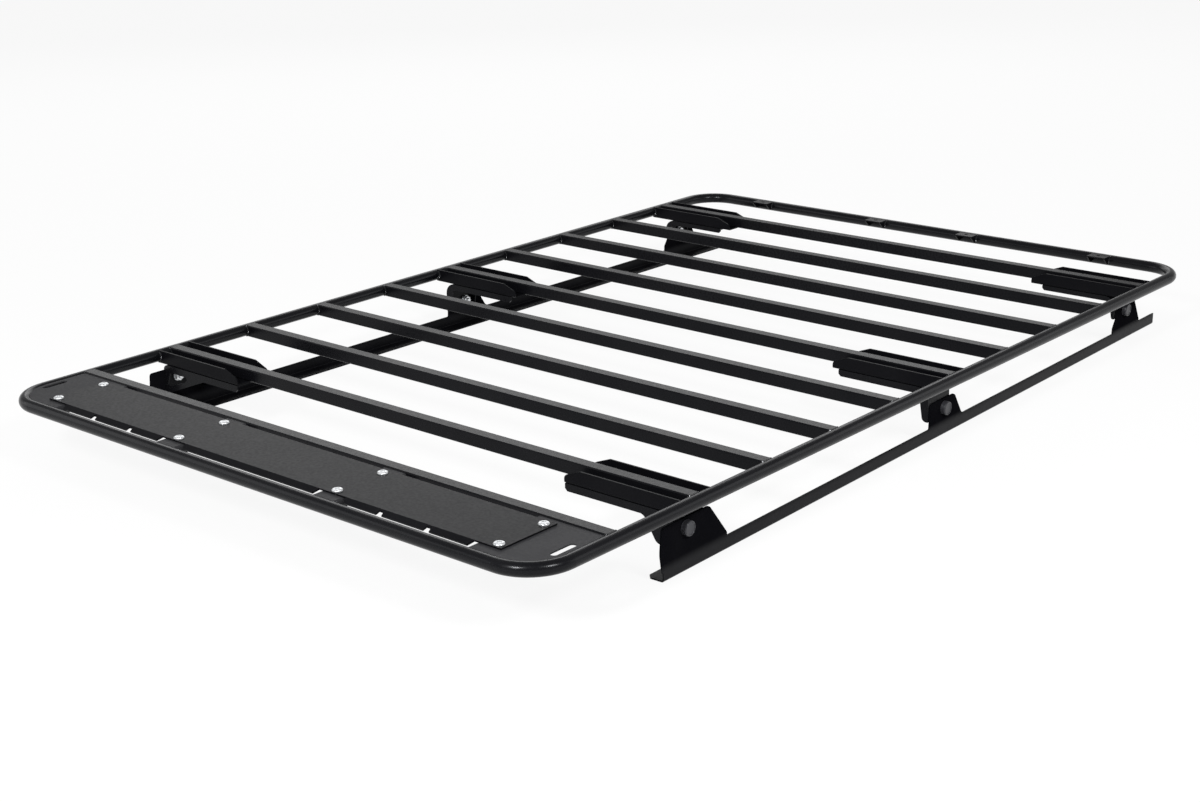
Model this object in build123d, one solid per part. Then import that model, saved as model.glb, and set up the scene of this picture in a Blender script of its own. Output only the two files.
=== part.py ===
from build123d import *
import os
from math import cos, radians, sin, sqrt, tan

# Flat platform roof rack. Millimetres, +Z up, the floor at z = 0 under the two mounting rails.
# X runs across the rack, the panel end of the deck is at -Y and the open end at +Y.

# Deck frame: one bent ring of round tube, its closed bore drawn with flats
deck_width = 1400.0
deck_length = 2225.0
deck_height = 124.5
tube_od = 25.0
tube_wall = 2.0
bore_sides = 12
corner_radius = 80.0
hoop_leg = 60.0

# Cross bars: square tube, coped onto the side tubes
bar_size = 25.0
bar_wall = 2.0
bar_arris = 2.5
bar_tip = 4.0
panel_depth = 183.0
lead_gap = 208.0
deck_bars = 9

# Front panel: corner sheets and channel ribs, flanged downwards, under a bolted cover
sheet = 2.5
sheet_top = 10.0
sheet_land = 1.0
sheet_flange = 14.0
sheet_bend = 4.0
end_plate_inset = 146.5
rib_width = 54.0
rib_offset = 210.0
strap_slot_length = 55.0
strap_slot_width = 13.0
strap_slot_inset = 22.5
strap_slot_setback = 90.0
cover_thickness = 3.0
cover_inset = 95.5
cover_slot = 13.0
cover_front = 29.0
lip_length = 13.0
lip_angle = 27.0
lip_gap = 5.0
lip_slant = 7.0
lip_notch_width = 14.0
lip_notch_depth = 8.5
lip_notch_inset = 101.5
lip_notch_pitch = 108.0

# Saddles: open channels under bars 2, 6 and 10
saddle_width = 80.0
saddle_sheet = 3.0
saddle_bend = 4.0
saddle_reach = 254.5
saddle_chamfer_x = 36.0
saddle_chamfer_z = 14.0
saddle_rounding = 9.0

# Legs: inverted channels whose end plates are bolted to the rails' ears
leg_sheet = 3.0
leg_strip_corner = 5.0
leg_throat_rounding = 14.0
brace_foot = 12.0
brace_toe = 5.0
brace_knee = 128.0

# Rails: angles with three upright ears, toed in towards the open end
rail_inset = 30.0
rail_toe = 1.03
rail_web = 26.0
rail_sheet = 3.0
rail_flange = 36.0
rail_bend = 5.0
rail_corner = 8.0
rail_lead = 70.0
rail_tail = 166.0
ear_bolt_hole = 10.5

# Rear lugs on the open end's tube
lug_width = 46.0
lug_depth = 23.0
lug_drop = 18.0
lug_sheet = 3.0
lug_hole = 9.0
lug_hole_setback = 15.0
lug_top = 12.0
lug_inset_outer = 200.5
lug_spread_inner = 132.0

# Leg stations: bar number and the shapes that differ from leg to leg.
# An ear's corners are (along Y from the bar, below the tube's centre, rounding), and so is its bolt; its root
# lies in the rail's web.
# A leg has its reach from the side tube, its strip's depth, its lowest point, its bend, its post's width at
# foot and throat, and the rounding of its toe.
web_top = deck_height - rail_web
ear_root = web_top + rail_web / 3
stations = {
    "front": dict(bar=1, reach=253.0, strip=14.0, low=75.0, bend=12.0, post=35.0, throat=63.0, toe=15.0,
                  bolt=(-10, 46),
                  ear=[(-73, ear_root), (-78, 74, 45), (-74, 28, 6), (54, 28, 14), (105, 93, 7),
                       (99, ear_root)]),
    "middle": dict(bar=5, reach=240.0, strip=13.5, low=84.0, bend=25.0, post=12.5, throat=21.0, toe=10.0,
                   bolt=(16, 67),
                   ear=[(-74, ear_root), (-74, web_top), (-37, web_top, 3), (-34, 49, 10), (56, 48, 14),
                        (88, web_top, 16), (114, web_top), (114, ear_root)]),
    "rear": dict(bar=9, reach=226.0, strip=11.0, low=66.0, bend=25.0, post=6.0, throat=12.0, toe=5.0,
                 bolt=(8, 53),
                 ear=[(-46, ear_root), (-45, 86, 10), (-32, 67, 24), (-31, 30), (52, 30), (88, 94, 5),
                      (83, ear_root)]),
}

# The front legs' braced wall has a rounded window: (inboard of the ear, below the leg's top, rounding)
brace_window = [(20, 14, 5), (80, 15, 4), (66, 27.5, 6), (7, 47, 4)]

# Places that follow from the sizes above
tube_r = tube_od / 2
side_x = deck_width / 2 - tube_r
end_y = deck_length / 2 - tube_r
deck_z = deck_height
half_bar = bar_size / 2
panel_bar_y = -end_y + panel_depth
first_bar_y = panel_bar_y + lead_gap
bar_pitch = (end_y - first_bar_y) / deck_bars
bar_ys = [panel_bar_y] + [first_bar_y + bar_pitch * i for i in range(deck_bars)]


def node(shape, name):
    solids = shape.solids()
    export_step(Compound(children=list(solids)) if len(solids) > 1 else solids[0], "parts/" + name + ".step")


def block(x0, x1, y0, y1, z0, z1):
    return Pos((x0 + x1) / 2, (y0 + y1) / 2, (z0 + z1) / 2) * Box(x1 - x0, y1 - y0, z1 - z0)


def rounded(corners):
    """A closed outline from corners (a, b) or (a, b, rounding)."""
    places = [Vector(c[0], c[1]) for c in corners]
    turns = []
    for i, corner in enumerate(corners):
        back = (places[i - 1] - places[i]).normalized()
        ahead = (places[(i + 1) % len(places)] - places[i]).normalized()
        if len(corner) < 3:
            turns.append((places[i], None, places[i]))
            continue
        half = radians(back.get_angle(ahead)) / 2
        inward = (back + ahead).normalized()
        run = corner[2] / tan(half)
        crown = places[i] + inward * (corner[2] / sin(half) - corner[2])
        turns.append((places[i] + back * run, crown, places[i] + ahead * run))
    lines = []
    for i, (start, crown, stop) in enumerate(turns):
        if crown is not None:
            lines.append(ThreePointArc(start, crown, stop))
        lines.append(Line(stop, turns[(i + 1) % len(turns)][0]))
    return make_face(lines)


def slab_xz(corners, y0, y1, lean=0.0):
    """An outline in X and Z, given at y0 and extruded to y1; a lean carries it towards -X on the way."""
    outline = Plane(origin=(0, y0, 0), x_dir=(1, 0, 0), z_dir=(0, -1, 0)) * rounded(corners)
    return extrude(outline, amount=(y1 - y0) * sqrt(1 + lean ** 2), dir=(-lean, 1, 0))


def slab_yz(corners, x0, x1):
    outline = Plane(origin=(x0, 0, 0), x_dir=(0, 1, 0), z_dir=(1, 0, 0)) * rounded(corners)
    return extrude(outline, amount=x1 - x0, dir=(1, 0, 0))


def slab_xy(corners, z0, z1):
    return extrude(Pos(0, 0, z0) * rounded(corners), amount=z1 - z0, dir=(0, 0, 1))


def left_of(shape):
    return mirror(shape, about=Plane.YZ)


# Perimeter ring in four lengths
def hoop(end, section):
    y_end = end * end_y
    y_leg = end * (end_y - corner_radius - hoop_leg)
    path = FilletPolyline((-side_x, y_leg, deck_z), (-side_x, y_end, deck_z),
                          (side_x, y_end, deck_z), (side_x, y_leg, deck_z), radius=corner_radius)
    return sweep(Plane(path @ 0, z_dir=path % 0) * section, path)


def side_tube(section):
    length = 2 * (end_y - corner_radius - hoop_leg)
    return extrude(Plane((side_x, -length / 2, deck_z), z_dir=(0, 1, 0)) * section, amount=length)


os.makedirs("parts", exist_ok=True)
tube_section = Circle(tube_r)
tube_bore = RegularPolygon(tube_r - tube_wall, bore_sides)
front_solid = hoop(-1, tube_section)
rear_solid = hoop(1, tube_section)
side_cut = Pos(side_x, 0, deck_z) * Rot(90, 0, 0) * Cylinder(tube_r, deck_length)
node(front_solid - hoop(-1, tube_bore), "front_hoop")
node(rear_solid - hoop(1, tube_bore), "rear_hoop")
right_tube = side_tube(tube_section) - side_tube(tube_bore)
node(right_tube, "right_side_tube")
node(left_of(right_tube), "left_side_tube")

# Cross bars
bar_half_length = side_x - bar_tip
bar_outer = Box(2 * bar_half_length, bar_size, bar_size)
bar_outer = fillet(bar_outer.edges().filter_by(Axis.X), bar_arris)
bar_bore = bar_size - 2 * bar_wall
bar = bar_outer - Box(2 * bar_half_length, bar_bore, bar_bore)
bar = Pos(0, 0, deck_z) * bar - side_cut - left_of(side_cut)
for number, y in enumerate(bar_ys, 1):
    node(Pos(0, y, 0) * bar, "cross_bar_%02d" % number)

# Front panel
panel_rear_y = panel_bar_y - half_bar
sheet_edge = sqrt(tube_r ** 2 - sheet_top ** 2) + sheet_land
panel_front_y = -end_y + sheet_edge
sheet_z0 = deck_z + sheet_top - sheet
sheet_z1 = deck_z + sheet_top
cover_rear_y = panel_rear_y - cover_slot
cover_front_y = -end_y + cover_front
plate_in_x = side_x - end_plate_inset
flange_z = sheet_z0 - sheet_flange
plate_out_x = side_x - sheet_edge
plate_section = [
    (plate_in_x, flange_z), (plate_in_x, sheet_z1, sheet_bend), (plate_out_x, sheet_z1),
    (plate_out_x, sheet_z0), (plate_in_x + sheet, sheet_z0), (plate_in_x + sheet, flange_z),
]
plate_plan = [
    (plate_in_x, panel_front_y), (plate_out_x, panel_front_y, corner_radius - sheet_edge),
    (plate_out_x, panel_rear_y), (plate_in_x, panel_rear_y),
]
end_plate = slab_xz(plate_section, panel_front_y, panel_rear_y) & slab_xy(plate_plan, flange_z, sheet_z1)
strap_slot = Pos(side_x - strap_slot_inset, -end_y + strap_slot_setback, sheet_z0 - sheet) * extrude(
    Rot(0, 0, 90) * SlotOverall(strap_slot_length, strap_slot_width), amount=3 * sheet)
end_plate = end_plate - front_solid - side_cut - strap_slot
node(end_plate, "right_end_plate")
node(left_of(end_plate), "left_end_plate")

rib_inner = rib_offset - rib_width / 2
rib_outer = rib_offset + rib_width / 2
rib_section = [
    (rib_inner, flange_z), (rib_inner, sheet_z1, sheet_bend), (rib_outer, sheet_z1, sheet_bend),
    (rib_outer, flange_z), (rib_outer - sheet, flange_z), (rib_outer - sheet, sheet_z0),
    (rib_inner + sheet, sheet_z0), (rib_inner + sheet, flange_z),
]
rib = slab_xz(rib_section, panel_front_y, panel_rear_y) - front_solid
node(rib, "right_panel_rib")
node(left_of(rib), "left_panel_rib")

cover_x = side_x - cover_inset
cover_z = sheet_z1 + cover_thickness
cover = block(-cover_x, cover_x, cover_front_y, cover_rear_y, sheet_z1, cover_z)
droop = radians(lip_angle)
lip_y = cover_front_y - lip_length * cos(droop)
lip_z = cover_z - lip_length * sin(droop)
lip_profile = [
    (cover_front_y, cover_z),
    (lip_y, lip_z),
    (lip_y + cover_thickness * sin(droop), lip_z - cover_thickness * cos(droop)),
    (cover_front_y + cover_thickness * tan(droop / 2), sheet_z1),
]


def lip(x0, x1, notches):
    """A length of the bent lip with slanted ends and tapered notches in its free edge."""
    plan = [(x0, cover_rear_y), (x0, cover_front_y), (x0 + lip_slant, lip_y)]
    for x in notches:
        wide, narrow = lip_notch_width / 2, lip_notch_width / 3
        plan += [(x - wide, lip_y), (x - narrow, lip_y + lip_notch_depth)]
        plan += [(x + narrow, lip_y + lip_notch_depth), (x + wide, lip_y)]
    plan += [(x1 - lip_slant, lip_y), (x1, cover_front_y), (x1, cover_rear_y)]
    return slab_yz(lip_profile, x0, x1) & slab_xy(plan, 0, 2 * deck_height)


notch_x = plate_in_x - lip_notch_inset
side_lip = lip(rib_outer + lip_gap, plate_in_x - lip_gap, [notch_x - lip_notch_pitch, notch_x])
cover = cover + lip(-rib_inner + lip_gap, rib_inner - lip_gap, []) + side_lip + left_of(side_lip)
node(cover, "cover_plate")

# Saddles
half_saddle = saddle_width / 2
saddle_z0 = deck_z - half_bar - saddle_sheet
saddle_z1 = deck_z + half_bar
saddle_in = side_x - saddle_reach
saddle_out = side_x - bar_tip
inside = half_saddle - saddle_sheet
saddle_section = [
    (-half_saddle, saddle_z1), (-half_saddle, saddle_z0, saddle_bend), (half_saddle, saddle_z0, saddle_bend),
    (half_saddle, saddle_z1), (inside, saddle_z1), (inside, saddle_z0 + saddle_sheet),
    (-inside, saddle_z0 + saddle_sheet), (-inside, saddle_z1),
]
saddle_side = [
    (saddle_in, saddle_z0), (saddle_out, saddle_z0), (saddle_out, saddle_z1),
    (saddle_in + saddle_chamfer_x, saddle_z1),
    (saddle_in, saddle_z1 - saddle_chamfer_z, saddle_rounding),
]
saddle = slab_yz(saddle_section, saddle_in, saddle_out) & slab_xz(saddle_side, -half_saddle, half_saddle)
saddle = saddle - side_cut

# Legs and rails share the toed-in plane of the rails' webs, which turns about the middle station
pivot_y = bar_ys[stations["middle"]["bar"]]
toe_slope = tan(radians(rail_toe))
toe = Pos(side_x - rail_inset, pivot_y, 0) * Rot(0, 0, rail_toe)


def ear_plane(y):
    """Where the ears' inner faces stand across the rack."""
    return side_x - rail_inset - rail_sheet / cos(radians(rail_toe)) - (y - pivot_y) * toe_slope


def bolt_hole(s):
    along, below = s["bolt"]
    place = Pos(-rail_sheet, bar_ys[s["bar"]] + along - pivot_y, deck_z - below)
    return toe * place * Rot(0, 90, 0) * Cylinder(ear_bolt_hole / 2, 6 * rail_sheet)


def leg(s, braced_front, braced_rear):
    """A leg of bent strap with two side walls; a braced wall runs down slantwise and has a window."""
    top = saddle_z0
    under = saddle_z0 - s["strip"]
    low = deck_z - s["low"]
    inner = side_x - s["reach"]
    y0 = bar_ys[s["bar"]] - half_saddle
    y1 = bar_ys[s["bar"]] + half_saddle

    def strap(x):
        return [(inner, top), (x, top, s["bend"]), (x, low), (x - leg_sheet, low),
                (x - leg_sheet, top - leg_sheet, s["bend"] - leg_sheet), (inner, top - leg_sheet)]

    def wall(y, braced):
        x = ear_plane(y)
        if braced:
            foot, knee = (x - brace_foot, low, brace_toe), (x - brace_knee, under, leg_throat_rounding)
        else:
            foot, knee = (x - s["post"], low, s["toe"]), (x - s["throat"], under, leg_throat_rounding)
        side = [(inner, top), (x, top, s["bend"]), (x, low), foot, knee,
                (inner + leg_strip_corner, under), (inner, under + leg_strip_corner)]
        plate = slab_xz(side, y, y + leg_sheet, toe_slope)
        if braced:
            window = [(x - inboard, top - below, r) for inboard, below, r in brace_window]
            plate -= slab_xz(window, y, y + leg_sheet, toe_slope)
        return plate

    body = slab_xz(strap(ear_plane(y0)), y0, y1, toe_slope)
    return body + wall(y0, braced_front) + wall(y1 - leg_sheet, braced_rear) - bolt_hole(s)


def ear(s):
    y = bar_ys[s["bar"]] - pivot_y
    return slab_yz([(y + c[0], deck_z - c[1], *c[2:]) for c in s["ear"]], -rail_sheet, 0)


rail_y0 = bar_ys[stations["front"]["bar"]] - rail_lead - pivot_y
rail_y1 = bar_ys[stations["rear"]["bar"]] + rail_tail - pivot_y
rail_section = [
    (-rail_flange, 0), (0, 0, rail_bend), (0, rail_web), (-rail_sheet, rail_web),
    (-rail_sheet, rail_sheet, rail_bend - rail_sheet), (-rail_flange, rail_sheet),
]
rail = slab_xz(rail_section, rail_y0, rail_y1)
rail = chamfer(rail.edges().filter_by(Axis.Z).sort_by(Axis.X)[:2], rail_corner)
for s in stations.values():
    rail += ear(s)
rail = toe * rail
for s in stations.values():
    rail -= bolt_hole(s)
node(rail, "right_rail")
node(left_of(rail), "left_rail")

# The front legs' braced walls face the panel on the left and the open end on the right: one leg, turned round
for place, s in stations.items():
    seat = Pos(0, bar_ys[s["bar"]], 0) * saddle
    node(seat, place + "_right_saddle")
    node(left_of(seat), place + "_left_saddle")
    braced = place == "front"
    node(leg(s, False, braced), place + "_right_leg")
    node(left_of(leg(s, braced, False)), place + "_left_leg")

# Rear lugs: small inverted channels, coped onto the tube
lug_z1 = deck_z + lug_top
lug_z0 = lug_z1 - lug_drop
lug_y0 = end_y - tube_r - lug_depth
lug_y1 = end_y - tube_r / 10
lug_hole_y = lug_y0 + lug_hole_setback
lug_under = lug_z1 - lug_sheet
lug_side = [(lug_y0, lug_z1), (lug_y1, lug_z1), (lug_y1, lug_z0), (lug_hole_y, lug_z0), (lug_y0, lug_under)]
for x, name in ((side_x - lug_inset_outer, "outer"), (lug_spread_inner, "inner")):
    half_lug = lug_width / 2
    half_throat = half_lug - lug_sheet
    lug = slab_yz(lug_side, x - half_lug, x + half_lug)
    lug -= block(x - half_throat, x + half_throat, 0, deck_length, 0, lug_under)
    lug = lug - rear_solid - Pos(x, lug_hole_y, lug_z1) * Cylinder(lug_hole / 2, 4 * lug_sheet)
    node(lug, "right_rear_lug_" + name)
    node(left_of(lug), "left_rear_lug_" + name)
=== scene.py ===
# %% [markdown]
# # A flat platform roof rack
# The rack's tubes, bars, plates, saddles, legs and rails come from the CAD model, true to size and place.
# This script gives each of them its finish, adds the small hardware that the CAD model leaves out,
# and sets up the light and the camera.

# %% Load the frame
import math
import bpy
import bmesh
from mathutils import Matrix, Vector


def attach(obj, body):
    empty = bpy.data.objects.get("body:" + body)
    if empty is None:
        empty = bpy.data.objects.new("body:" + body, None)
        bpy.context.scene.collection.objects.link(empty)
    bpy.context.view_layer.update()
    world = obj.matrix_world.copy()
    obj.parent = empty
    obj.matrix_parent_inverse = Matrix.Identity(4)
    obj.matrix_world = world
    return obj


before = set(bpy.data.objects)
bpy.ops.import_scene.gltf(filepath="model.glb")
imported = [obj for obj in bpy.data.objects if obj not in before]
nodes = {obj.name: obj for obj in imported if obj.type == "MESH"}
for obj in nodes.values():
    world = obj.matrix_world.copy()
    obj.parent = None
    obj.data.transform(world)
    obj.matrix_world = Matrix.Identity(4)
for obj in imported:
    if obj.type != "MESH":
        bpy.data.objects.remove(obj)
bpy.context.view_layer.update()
scene = bpy.context.scene

# %% [markdown]
# ## Sizes shared by the hardware
# The hardware sits on faces of the CAD model, so its places are worked out from the same few sizes,
# in metres: the height of the deck tube's centre, the side tubes' distance from the middle, the end tubes'
# distance along the rack, and the cross bars' places. The first bar closes the front panel. Nine more follow
# at one pitch, and the tube of the open end lies one pitch behind the last.

# %% Sizes
deck_z = 0.1245
tube_r = 0.0125
side_x = 0.6875
end_y = 1.1
bar_half = 0.0125
panel_depth = 0.183
panel_gap = 0.208
deck_bars = 9
panel_bar_y = -end_y + panel_depth
first_bar_y = panel_bar_y + panel_gap
bar_pitch = (end_y - first_bar_y) / deck_bars
bar_ys = [panel_bar_y] + [first_bar_y + bar_pitch * i for i in range(deck_bars)]
saddle_bars = (1, 5, 9)
print("bars at", [round(y, 3) for y in bar_ys])

# %% [markdown]
# ## Building blocks of a finish
# A finish is a small tree of shader nodes. It could be wired by hand in the shader editor, but a tree that is
# built in code can be read line by line and made again. Each helper adds one kind of node: a noise on the
# piece's own Object coordinates, a ramp from a deep to a pale colour, and a map from one range of numbers
# to another.


# %% Shader helpers
def dial(node, values):
    for socket, value in values.items():
        node.inputs[socket].default_value = value
    return node


def noise(tree, scale, detail):
    place = tree.nodes.new("ShaderNodeTexCoord")
    texture = dial(tree.nodes.new("ShaderNodeTexNoise"), {"Scale": scale, "Detail": detail})
    tree.links.new(place.outputs["Object"], texture.inputs["Vector"])
    return texture.outputs["Fac"]


def ramp(tree, value, span, colours):
    shade = tree.nodes.new("ShaderNodeValToRGB")
    for stop, position, colour in zip(shade.color_ramp.elements, span, colours):
        stop.position = position
        stop.color = (*colour, 1)
    tree.links.new(value, shade.inputs["Fac"])
    return shade.outputs["Color"]


def remap(tree, value, span, result, interpolation="LINEAR"):
    scale = tree.nodes.new("ShaderNodeMapRange")
    scale.interpolation_type = interpolation
    dial(scale, {"From Min": span[0], "From Max": span[1], "To Min": result[0], "To Max": result[1]})
    tree.links.new(value, scale.inputs["Value"])
    return scale.outputs["Result"]


print("shader helpers: dial, noise, ramp, remap")

# %% [markdown]
# ## Powder coat
# The whole rack is powder coated: a satin black paint with a very fine grain, which melts on in the
# oven and so lies a little thicker in some places than in others. One noise texture could do for all
# of it, but three scales look better apart: a slow cloud shifts the colour, a mottle a few millimetres
# wide varies the roughness, and a fine grain gives the bump. The gloss level is a plain number, so it is
# set on the shader itself.

# %% Powder coat
cloud_scale = 9.0
cloud_detail = 3.0
mottle_scale = 180.0
grain_scale = 700.0
fine_detail = 2.0
grain_height = 0.0003
noise_span = (0.3, 0.7)
cool_shine = (0.95, 0.97, 1.0, 1)


def powder_coat(name, colours, gloss, rough, grain=0.09):
    """A satin paint: its deep and pale colour, its gloss level, its two roughnesses and the grain's depth."""
    coat = bpy.data.materials.new(name)
    coat.use_nodes = True
    tree = coat.node_tree
    shader = dial(tree.nodes["Principled BSDF"], {"Specular IOR Level": gloss, "Specular Tint": cool_shine})
    cloud = noise(tree, cloud_scale, cloud_detail)
    mottle = noise(tree, mottle_scale, fine_detail)
    bump = dial(tree.nodes.new("ShaderNodeBump"), {"Strength": grain, "Distance": grain_height})
    tree.links.new(noise(tree, grain_scale, fine_detail), bump.inputs["Height"])
    tree.links.new(ramp(tree, cloud, noise_span, colours), shader.inputs["Base Color"])
    tree.links.new(remap(tree, mottle, noise_span, rough), shader.inputs["Roughness"])
    tree.links.new(bump.outputs["Normal"], shader.inputs["Normal"])
    print(name, "with", len(tree.nodes), "nodes")
    return coat


# %% [markdown]
# ## One coat for each kind of piece
# The same paint comes out a little different from piece to piece. On the round tubes it runs smooth and
# shines most, the cover is more matt than the bars, the sheets beside it are matt, and the saddles are dull.
# On a weld bead the paint runs over the ripples and gleams. The sheets' paler colour is painted light: a
# lighter black that stands in for the brightness the sheets show under the lamps. One coat for all would be
# simpler, but the pieces would lose their own look, so each kind gets the numbers that match it.

# %% Coats
black = ((0.003, 0.003, 0.004), (0.005, 0.005, 0.006))
# painted light: the sheets' black is made paler to stand in for the light they catch
black_with_painted_light = ((0.023, 0.023, 0.025), (0.031, 0.031, 0.033))
deck_coat = powder_coat("deck_powder_coat", black, gloss=0.085, rough=(0.24, 0.32))
saddle_coat = powder_coat("saddle_powder_coat", black, gloss=0.035, rough=(0.28, 0.36))
tube_coat = powder_coat("tube_powder_coat", black, gloss=0.17, rough=(0.22, 0.28), grain=0.03)
panel_coat = powder_coat("panel_powder_coat", black, gloss=0.072, rough=(0.36, 0.44))
sheet_coat_with_painted_light = powder_coat("sheet_powder_coat_with_painted_light", black_with_painted_light, gloss=0.04, rough=(0.40, 0.48))
bead_coat = powder_coat("bead_powder_coat", black, gloss=0.45, rough=(0.16, 0.26))

# %% [markdown]
# ## Darker ears
# On the real rack a rail's ears look darker than its web, with a soft line between them, perhaps because the
# web leans out a little and mirrors more of the light. The web here stands upright, so the coat carries the
# difference. Two materials would leave a hard line, so a map over the height above the floor lets the gloss
# fall off smoothly from the web to the ears.

# %% Rail coat
web_gloss = 0.085
ear_gloss = 0.0
web_top = 0.016
ear_foot = 0.034
rail_coat = powder_coat("rail_powder_coat", black, gloss=web_gloss, rough=(0.34, 0.42))
rail_tree = rail_coat.node_tree
rail_place = rail_tree.nodes.new("ShaderNodeTexCoord")
rail_height = rail_tree.nodes.new("ShaderNodeSeparateXYZ")
rail_tree.links.new(rail_place.outputs["Object"], rail_height.inputs["Vector"])
fall = remap(rail_tree, rail_height.outputs["Z"], (web_top, ear_foot), (web_gloss, ear_gloss), "SMOOTHSTEP")
rail_tree.links.new(fall, rail_tree.nodes["Principled BSDF"].inputs["Specular IOR Level"])
print("gloss falls off from", web_gloss, "to", ear_gloss, "between", web_top, "and", ear_foot, "m")

# %% [markdown]
# ## Coat every piece
# The CAD pieces are named for what they are, so a word in the name picks the coat. The bars, legs and lugs
# have no word of their own and take the deck's coat.

# %% Coat every piece
coat_words = (("tube", tube_coat), ("hoop", tube_coat), ("saddle", saddle_coat), ("rail", rail_coat),
              ("cover", panel_coat), ("end_plate", sheet_coat_with_painted_light), ("rib", sheet_coat_with_painted_light))
for name, node in nodes.items():
    finish = deck_coat
    for word, coat in coat_words:
        if word in name:
            finish = coat
    node.data.materials.clear()
    node.data.materials.append(finish)
print("coated", len(nodes), "pieces")

# %% [markdown]
# ## Bright zinc and black caps
# The screws and nuts are zinc plated steel: a bright, faintly bluish metal whose plating is a little uneven.
# A plain grey would look like paint, so a fine noise shifts the colour and the roughness together. The caps
# over the ear bolts are black plastic, a little paler and shinier than the paint, and the powder coat's tree
# does for them as well.

# %% Zinc and cap
plating_scale = 260.0
plating_span = (0.0, 1.0)
zinc = bpy.data.materials.new("bright_zinc")
zinc.use_nodes = True
zinc_tree = zinc.node_tree
zinc_shader = dial(zinc_tree.nodes["Principled BSDF"], {"Metallic": 1.0})
plating = noise(zinc_tree, plating_scale, fine_detail)
zinc_tones = ramp(zinc_tree, plating, plating_span, ((0.62, 0.64, 0.66), (0.86, 0.87, 0.88)))
zinc_tree.links.new(zinc_tones, zinc_shader.inputs["Base Color"])
zinc_tree.links.new(remap(zinc_tree, plating, plating_span, (0.34, 0.48)), zinc_shader.inputs["Roughness"])
cap_tones = ((0.020, 0.020, 0.023), (0.028, 0.028, 0.032))
cap_black = powder_coat("cap_black", cap_tones, gloss=0.35, rough=(0.30, 0.38))
print("finishes:", [m.name for m in bpy.data.materials])

# %% [markdown]
# ## Spun forms
# A screw, a cap or a nut is turned on a lathe or cut from bar, so its form here is one or more profiles
# spun round the Z axis; six steps of the spin give a hexagon. Blender's Screw modifier could spin them too,
# but a few lines of mesh code can join several profiles, close the poles and mark the sharp edges at once.

# %% Spun forms
crease = math.radians(35)


def spun_form(name, profiles):
    """A form from profiles of (radius, height) corners, each with its number of steps round the axis."""
    form = bmesh.new()
    for profile, steps in profiles:
        rings = []
        turn = [2 * math.pi * i / steps for i in range(steps)]
        for r, z in profile:
            if r == 0:
                rings.append([form.verts.new((0, 0, z))])
            else:
                rings.append([form.verts.new((r * math.cos(a), r * math.sin(a), z)) for a in turn])
        for low, high in zip(rings, rings[1:]):
            for i in range(steps):
                j = (i + 1) % steps
                if len(low) == 1:
                    form.faces.new((low[0], high[j], high[i]))
                elif len(high) == 1:
                    form.faces.new((low[i], low[j], high[0]))
                else:
                    form.faces.new((low[i], low[j], high[j], high[i]))
    bmesh.ops.recalc_face_normals(form, faces=form.faces)
    for edge in form.edges:
        edge.smooth = len(edge.link_faces) == 2 and edge.calc_face_angle() < crease
    mesh = bpy.data.meshes.new(name)
    form.to_mesh(mesh)
    form.free()
    for face in mesh.polygons:
        face.use_smooth = True
    print(name, len(mesh.polygons), "faces")
    return bpy.data.objects.new(name, mesh)


# %% [markdown]
# ## Trees that set one form in many places
# Fasteners and weld ripples repeat, so Geometry Nodes trees set them out. Copies could be placed by hand, but
# a tree with named inputs keeps their size and finish in one place. Both trees open alike, with a mesh and
# the named inputs, and close alike, in Realize Instances and Set Material. Then the result is kept as a plain
# mesh that rides on the rack.


# %% Open and close a tree
def open_tree(name, inputs):
    tree = bpy.data.node_groups.new(name, "GeometryNodeTree")
    tree.interface.new_socket("Geometry", in_out="INPUT", socket_type="NodeSocketGeometry")
    for label, kind in inputs.items():
        tree.interface.new_socket(label, in_out="INPUT", socket_type="NodeSocket" + kind)
    tree.interface.new_socket("Geometry", in_out="OUTPUT", socket_type="NodeSocketGeometry")
    print(name, "takes", list(inputs))
    return tree, tree.nodes.new("NodeGroupInput")


def close_tree(tree, start, copies):
    end = tree.nodes.new("NodeGroupOutput")
    real = tree.nodes.new("GeometryNodeRealizeInstances")
    coat = tree.nodes.new("GeometryNodeSetMaterial")
    tree.links.new(copies.outputs["Instances"], real.inputs["Geometry"])
    tree.links.new(real.outputs["Geometry"], coat.inputs["Geometry"])
    tree.links.new(start.outputs["Finish"], coat.inputs["Material"])
    tree.links.new(coat.outputs["Geometry"], end.inputs["Geometry"])


# %% Grow a piece
def grow(name, seeds, tree, values):
    """Runs a tree on a mesh of points or lines and keeps the result as a plain mesh on the rack."""
    piece = bpy.data.objects.new(name, seeds)
    scene.collection.objects.link(piece)
    work = piece.modifiers.new("tree", "NODES")
    work.node_group = tree
    for socket in tree.interface.items_tree:
        if socket.in_out == "INPUT" and socket.name in values:
            work[socket.identifier] = values[socket.name]
    bpy.context.view_layer.update()
    shaped = piece.evaluated_get(bpy.context.evaluated_depsgraph_get())
    done = bpy.data.meshes.new_from_object(shaped)
    piece.modifiers.clear()
    piece.data = done
    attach(piece, "root")
    print(piece.name, len(done.polygons), "faces")


# %% [markdown]
# ## Fasteners
# Screws, caps and nuts each sit on a face, square to it. The tree puts the form on every point of a small
# mesh, turned as that point's own attribute says, and scales it by a diameter and a height. The turn is kept
# on the points, not in the tree, so that one tree serves the flat cover and the upright ears.


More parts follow.
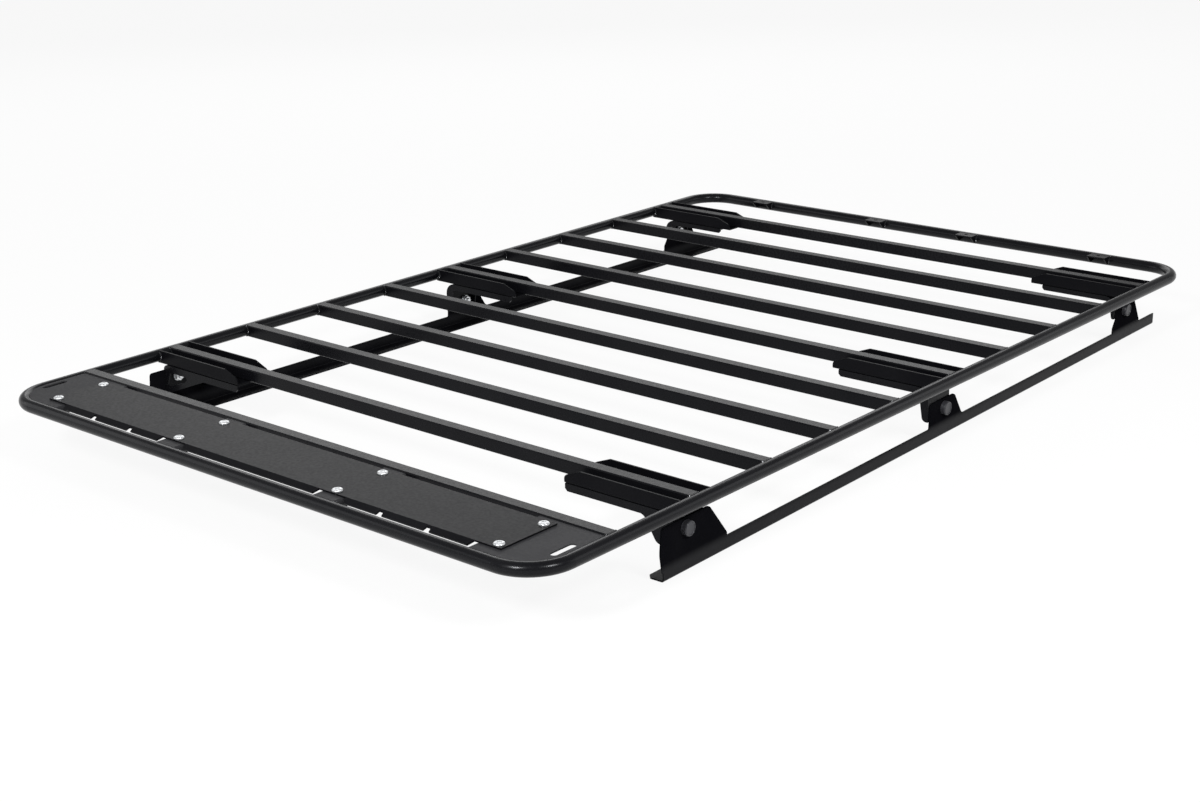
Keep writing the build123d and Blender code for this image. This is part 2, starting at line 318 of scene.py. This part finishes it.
# %% Fastener tree
def fastener_tree():
    inputs = {"Form": "Object", "Diameter": "Float", "Height": "Float", "Finish": "Material"}
    tree, start = open_tree("set_fasteners", inputs)
    form = tree.nodes.new("GeometryNodeObjectInfo")
    points = tree.nodes.new("GeometryNodeMeshToPoints")
    turn = tree.nodes.new("GeometryNodeInputNamedAttribute")
    turn.data_type = "FLOAT_VECTOR"
    turn.inputs["Name"].default_value = "turn"
    size = tree.nodes.new("ShaderNodeCombineXYZ")
    copies = tree.nodes.new("GeometryNodeInstanceOnPoints")
    link = tree.links.new
    link(start.outputs["Geometry"], points.inputs["Mesh"])
    link(start.outputs["Form"], form.inputs["Object"])
    link(start.outputs["Diameter"], size.inputs["X"])
    link(start.outputs["Diameter"], size.inputs["Y"])
    link(start.outputs["Height"], size.inputs["Z"])
    link(points.outputs["Points"], copies.inputs["Points"])
    link(form.outputs["Geometry"], copies.inputs["Instance"])
    link(turn.outputs["Attribute"], copies.inputs["Rotation"])
    link(size.outputs["Vector"], copies.inputs["Scale"])
    close_tree(tree, start, copies)
    return tree


set_fasteners = fastener_tree()


# %% Set fasteners
def fasten(name, form, places, diameter, height, finish):
    """Sets a form on every place, each a point and the turn that stands the form on its face."""
    seats = bpy.data.meshes.new(name)
    seats.from_pydata([point for point, _ in places], [], [])
    turn = seats.attributes.new("turn", "FLOAT_VECTOR", "POINT")
    for seat, (_, angle) in zip(turn.data, places):
        seat.vector = angle
    grow(name, seats, set_fasteners, {"Form": form, "Diameter": diameter, "Height": height, "Finish": finish})


# %% [markdown]
# ## Cover screws
# Eight low, wide screw heads hold the cover on the sheets below it. The profile runs from the head's
# rim over a rounded shoulder to a flat top with a shallow round dish in the middle. A squashed sphere would
# be quicker, but it has no rim to catch the light. A profile is drawn with a diameter and a height of 1.

# %% Cover screws
cover_top = deck_z + 0.013
screw_diameter = 0.0190
screw_height = 0.0034
screw_xs = (-0.578, -0.210, 0.210, 0.578)
screw_ys = (-1.060, -0.958)
shoulder = [(0, 0.0), (0.50, 0.0), (0.50, 0.42), (0.485, 0.64), (0.45, 0.84), (0.40, 0.96), (0.34, 1.0)]
dish = [(0.24, 1.0), (0.22, 0.96), (0.20, 0.84), (0.17, 0.78), (0, 0.76)]
screw_form = spun_form("screw_form", [(shoulder + dish, 36)])
screw_places = [((x, y, cover_top), (0, 0, 0)) for x in screw_xs for y in screw_ys]
fasten("cover_screws", screw_form, screw_places, screw_diameter, screw_height, zinc)

# %% [markdown]
# ## Places on the ears
# Each leg's end plate is bolted to an ear of its rail. The rails toe in towards the open end, turned about
# the middle legs' bar, so a bolt's place is worked out along the rail and then turned with it. Typed-in
# coordinates would be shorter, but the forms would not stand square on the ears. A bolt is given by its
# bar, by how far it sits behind that bar along the rail, and by how far below the deck.

# %% Places on the ears
rail_inset = 0.030
rail_toe = math.radians(1.03)
ear_and_leg = 0.006
pivot_y = bar_ys[5]
ear_bolts = ((1, -0.010, 0.046), (5, 0.016, 0.067), (9, 0.008, 0.053))


def ear_place(side, bar, along, below, inside):
    """A bolt's place on an ear's outer face or inside the leg, with the turn that lays Z along the bolt."""
    run = bar_ys[bar] + along - pivot_y
    depth = ear_and_leg if inside else 0.0
    x = side_x - rail_inset - run * math.sin(rail_toe) - depth * math.cos(rail_toe)
    y = pivot_y + run * math.cos(rail_toe) - depth * math.sin(rail_toe)
    lean = -math.pi / 2 if inside else math.pi / 2
    return (side * x, y, deck_z - below), (0, side * lean, side * rail_toe)


cap_places = [ear_place(side, *bolt, False) for side in (1, -1) for bolt in ear_bolts]
nut_places = [ear_place(side, *bolt, True) for side in (1, -1) for bolt in ear_bolts]
print("caps at", [[round(v, 3) for v in point] for point, _ in cap_places])

# %% [markdown]
# ## Caps over the bolts
# Outside, each bolt's head wears a round black cap with a soft rim and a slightly dished face. A plain
# cylinder would do from afar, but the rim's curve is what shines, so the profile follows it in small steps.

# %% Caps
cap_diameter = 0.0275
cap_height = 0.0105
cap_skirt = [(0, 0.0), (0.50, 0.0), (0.50, 0.74), (0.49, 0.87), (0.465, 0.96), (0.43, 1.0)]
cap_face = [(0.405, 0.985), (0.385, 0.94), (0.375, 0.90), (0.25, 0.88), (0, 0.875)]
cap_form = spun_form("cap_form", [(cap_skirt + cap_face, 40)])
fasten("ear_bolt_caps", cap_form, cap_places, cap_diameter, cap_height, cap_black)

# %% [markdown]
# ## Nuts inside the legs
# Inside each leg sit a washer, a hexagon nut and the bolt's end, all zinc plated, and some show through the
# open walls. They could be three pieces, but they never part, so three profiles make one form.

# %% Nuts
nut_diameter = 0.0215
nut_height = 0.0145
flat_washer = [(0, 0.0), (0.50, 0.0), (0.50, 0.10), (0.48, 0.13), (0, 0.13)]
hexagon = [(0, 0.12), (0.43, 0.12), (0.46, 0.18), (0.46, 0.60), (0.41, 0.66), (0, 0.66)]
bolt_end = [(0, 0.60), (0.23, 0.60), (0.23, 0.94), (0.19, 1.0), (0, 1.0)]
nut_form = spun_form("nut_form", [(flat_washer, 24), (hexagon, 6), (bolt_end, 16)])
fasten("ear_bolt_nuts", nut_form, nut_places, nut_diameter, nut_height, zinc)

# %% [markdown]
# ## Weld beads
# Bars, saddles and lugs are welded to the tube before the rack is coated. A bead is a row of ripples,
# each overlapping the one before. It could be a bevelled curve, but that would look like a bent wire,
# so a tree walks along each joint's line and sets a flattened ripple at every step, facing along the line.


# %% Weld tree
def weld_tree():
    inputs = {"Ripple": "Object", "Step": "Float", "Width": "Float", "Finish": "Material"}
    tree, start = open_tree("lay_weld_beads", inputs)
    line = tree.nodes.new("GeometryNodeMeshToCurve")
    walk = tree.nodes.new("GeometryNodeResampleCurve")
    walk.mode = "LENGTH"
    along = tree.nodes.new("GeometryNodeInputTangent")
    turn = tree.nodes.new("FunctionNodeAlignRotationToVector")
    turn.axis = "Z"
    ripple = tree.nodes.new("GeometryNodeObjectInfo")
    copies = tree.nodes.new("GeometryNodeInstanceOnPoints")
    link = tree.links.new
    link(start.outputs["Geometry"], line.inputs["Mesh"])
    link(line.outputs["Curve"], walk.inputs["Curve"])
    link(start.outputs["Step"], walk.inputs["Length"])
    link(along.outputs["Tangent"], turn.inputs["Vector"])
    link(start.outputs["Ripple"], ripple.inputs["Object"])
    link(walk.outputs["Curve"], copies.inputs["Points"])
    link(ripple.outputs["Geometry"], copies.inputs["Instance"])
    link(turn.outputs["Rotation"], copies.inputs["Rotation"])
    link(start.outputs["Width"], copies.inputs["Scale"])
    close_tree(tree, start, copies)
    return tree


lay_weld_beads = weld_tree()

# %% Lay beads along lines
ripple_step = 0.0019
ripple = [(0, -0.34), (0.34, -0.24), (0.5, 0.0), (0.34, 0.24), (0, 0.34)]
ripple_form = spun_form("ripple_form", [(ripple, 8)])


def weld(name, lines, width):
    points = []
    edges = []
    for line in lines:
        count = len(points)
        edges += [(count + i, count + i + 1) for i in range(len(line) - 1)]
        points += line
    path = bpy.data.meshes.new(name)
    path.from_pydata(points, edges, [])
    values = {"Ripple": ripple_form, "Step": ripple_step, "Width": width, "Finish": bead_coat}
    grow(name, path, lay_weld_beads, values)


# %% [markdown]
# ## Lines of the welds
# The lines follow the round of the tube: where a flat sheet or a bar's wall meets it, the joint's distance
# from the tube's axis is the circle's. A bar's bead runs all round its end, except at a saddle, where it
# stays open below, and a saddle has one bead along each wall. The lines could be traced on the CAD model's
# mesh, but the circle gives them more evenly.


# %% Bar and saddle welds
def tube_reach(z):
    """How far the round of a tube reaches from its axis, z above or below it."""
    return math.sqrt(tube_r ** 2 - z ** 2)


def steps(first, last, count):
    return [first + (last - first) * i / (count - 1) for i in range(count)]


def wall_line(side, y, rise):
    """The joint of an upright wall with a side tube's inner half."""
    return [(side * (side_x - tube_reach(z)), y, deck_z + z) for z in rise]


bar_bead = 0.0042
saddle_bead = 0.0060
saddle_half = 0.040
bar_rise = steps(-0.0108, 0.0108, 9)
saddle_rise = steps(-0.0115, 0.0085, 9)
bar_lines = []
saddle_lines = []
for side in (1, -1):
    for number, y in enumerate(bar_ys):
        loop = wall_line(side, y - bar_half, bar_rise) + wall_line(side, y + bar_half, bar_rise[::-1])
        if number in saddle_bars:
            saddle_lines += [wall_line(side, y + edge, saddle_rise) for edge in (-saddle_half, saddle_half)]
        else:
            loop.append(loop[0])
        bar_lines.append(loop)
weld("bar_weld_beads", bar_lines, bar_bead)
weld("saddle_weld_beads", saddle_lines, saddle_bead)

# %% [markdown]
# ## Lug welds
# Four small lugs stand on the open end's tube. Each is welded up one side, across and down the other, so its
# line is one open path on the tube's inner half. Two short beads would also hold, but one path keeps the
# ripples even.

# %% Lug welds
lug_bead = 0.0046
lug_half = 0.023
lug_xs = (-0.487, -0.132, 0.132, 0.487)
lug_rise = steps(-0.0055, 0.0105, 7)
lug_lines = []
for x in lug_xs:
    left = [(x - lug_half, end_y - tube_reach(z), deck_z + z) for z in lug_rise]
    right = [(x + lug_half, end_y - tube_reach(z), deck_z + z) for z in lug_rise[::-1]]
    lug_lines.append(left + right)
weld("lug_weld_beads", lug_lines, lug_bead)

# %% [markdown]
# ## Floor
# The rack stands on a plain pale floor that looks white. A very bright floor would light the rack from
# below, so as light the floor stays matt, and Light Path lets only the camera and the reflections see it
# nearly white. The share that stays matt there keeps the rack's shadow.


# %% Floor
def seen_directly(tree):
    """1 for rays from the camera, through glass or off a shiny surface, and 0 for the rest."""
    path = tree.nodes.new("ShaderNodeLightPath")
    seen = path.outputs["Is Camera Ray"]
    for kind in ("Is Transmission Ray", "Is Glossy Ray"):
        either = tree.nodes.new("ShaderNodeMath")
        either.operation = "MAXIMUM"
        tree.links.new(seen, either.inputs[0])
        tree.links.new(path.outputs[kind], either.inputs[1])
        seen = either.outputs[0]
    return seen


floor_half = 40
floor_grey = (0.85, 0.85, 0.85, 1)
white_share = 0.9
floor_corners = [(-floor_half, -floor_half, 0), (floor_half, -floor_half, 0),
                 (floor_half, floor_half, 0), (-floor_half, floor_half, 0)]


def pale_floor():
    pale = bpy.data.materials.new("pale_floor")
    pale.use_nodes = True
    tree = pale.node_tree
    tree.nodes.clear()
    out = tree.nodes.new("ShaderNodeOutputMaterial")
    matt = dial(tree.nodes.new("ShaderNodeBsdfDiffuse"), {"Color": floor_grey})
    white = dial(tree.nodes.new("ShaderNodeEmission"), {"Strength": 1.0})
    share = tree.nodes.new("ShaderNodeMath")
    share.operation = "MULTIPLY"
    share.inputs[1].default_value = white_share
    mix = tree.nodes.new("ShaderNodeMixShader")
    tree.links.new(seen_directly(tree), share.inputs[0])
    tree.links.new(share.outputs[0], mix.inputs["Fac"])
    tree.links.new(matt.outputs[0], mix.inputs[1])
    tree.links.new(white.outputs[0], mix.inputs[2])
    tree.links.new(mix.outputs[0], out.inputs["Surface"])
    return pale


plane = bpy.data.meshes.new("floor")
plane.from_pydata(floor_corners, [], [(0, 1, 2, 3)])
plane.materials.append(pale_floor())
floor = bpy.data.objects.new("floor", plane)
scene.collection.objects.link(floor)
print("floor", 2 * floor_half, "m wide")

# %% [markdown]
# ## Surround
# The surround is white where the camera and the reflections look at it, near the horizon, and dims higher up,
# as a studio's walls do above the lamps' reach. As light it stays dim all over. An even white sky would be
# simpler, but it would mirror in every upper face and turn the black paint grey.

# %% Surround
sky_white = 1.0
sky_dim = 0.35
sky_fade = (0.02, 0.2)
world = bpy.data.worlds.new("studio")
scene.world = world
world.use_nodes = True
sky = world.node_tree
sky_place = sky.nodes.new("ShaderNodeTexCoord")
sky_height = sky.nodes.new("ShaderNodeSeparateXYZ")
sky.links.new(sky_place.outputs["Generated"], sky_height.inputs["Vector"])
level = dial(sky.nodes.new("ShaderNodeMix"), {"A": sky_dim})
background = dial(sky.nodes["Background"], {"Color": (1, 1, 1, 1)})
sky.links.new(seen_directly(sky), level.inputs["Factor"])
sky.links.new(remap(sky, sky_height.outputs["Z"], sky_fade, (sky_white, sky_dim)), level.inputs["B"])
sky.links.new(level.outputs["Result"], background.inputs["Strength"])
print("surround from", sky_white, "at the horizon to", sky_dim, "above")

# %% [markdown]
# ## Lamps
# Black paint shows mostly what it mirrors, so every softbox stands where the camera sees it mirrored. Two
# small ones stand high in front and at the right: they light the rack and mirror as two bright spots on the
# front bend. Three long ones stand lower: one behind for the upper faces of the bars and the cover, and one
# each for the round of the front tube and of the side tube. A single large lamp would be plainer, but the
# tubes would lose the long, soft lines that show their round.


# %% Lamps
def soft_lamp(name, place, aim, size, watts):
    lamp = bpy.data.lights.new(name, "AREA")
    lamp.shape = "RECTANGLE"
    lamp.size, lamp.size_y = size
    lamp.energy = watts
    holder = bpy.data.objects.new(name, lamp)
    scene.collection.objects.link(holder)
    holder.location = place
    holder.rotation_euler = (Vector(aim) - Vector(place)).to_track_quat("-Z", "Y").to_euler()
    print(name, watts, "W")


middle = (0, 0, 0)
soft_lamp("left_softbox", place=(1.0, -4.2, 3.0), aim=middle, size=(0.8, 0.8), watts=170)
soft_lamp("right_softbox", place=(3.8, -1.2, 3.0), aim=middle, size=(0.8, 0.8), watts=110)
soft_lamp("rear_softbox", place=(-3.2, 3.2, 2.4), aim=(0, 0, 0.1), size=(5.0, 1.9), watts=60)
soft_lamp("front_tube_softbox", place=(-4.0, -3.2, 1.9), aim=(0, -0.6, 0.1), size=(3.5, 2.4), watts=36)
soft_lamp("side_tube_softbox", place=(3.8, 3.4, 1.9), aim=(0.6, 0, 0.1), size=(4.0, 2.2), watts=34)

# %% [markdown]
# ## Camera
# The camera repeats the photograph's angle: azimuth, elevation, distance and a slight roll about its own
# axis, with a lens to match. It could be placed by eye, but these numbers come from a camera that was fitted
# to the edges of the tubes and bars, so the render lies over the photograph.

# %% Camera
azimuth = math.radians(41.103)
elevation = math.radians(18.62)
distance = 3.6341
roll = math.radians(1.194)
target = Vector((0.22815, -0.41736, deck_z))
focal_pixels = 1929.61
image_width = 1200
sensor_width = 36.0
away = Vector((math.sin(azimuth) * math.cos(elevation),
               -math.cos(azimuth) * math.cos(elevation), math.sin(elevation)))
lens = bpy.data.cameras.new("camera")
lens.sensor_width = sensor_width
lens.lens = focal_pixels / image_width * sensor_width
lens.clip_end = 200
camera = bpy.data.objects.new("camera", lens)
scene.collection.objects.link(camera)
look = (-away).to_track_quat("-Z", "Y").to_matrix().to_4x4()
stand = Matrix.Translation(target + away * distance)
camera.matrix_world = stand @ look @ Matrix.Rotation(-roll, 4, "Z")
scene.camera = camera
scene.view_settings.view_transform = "Standard"
print("camera at", [round(v, 3) for v in camera.matrix_world.translation])
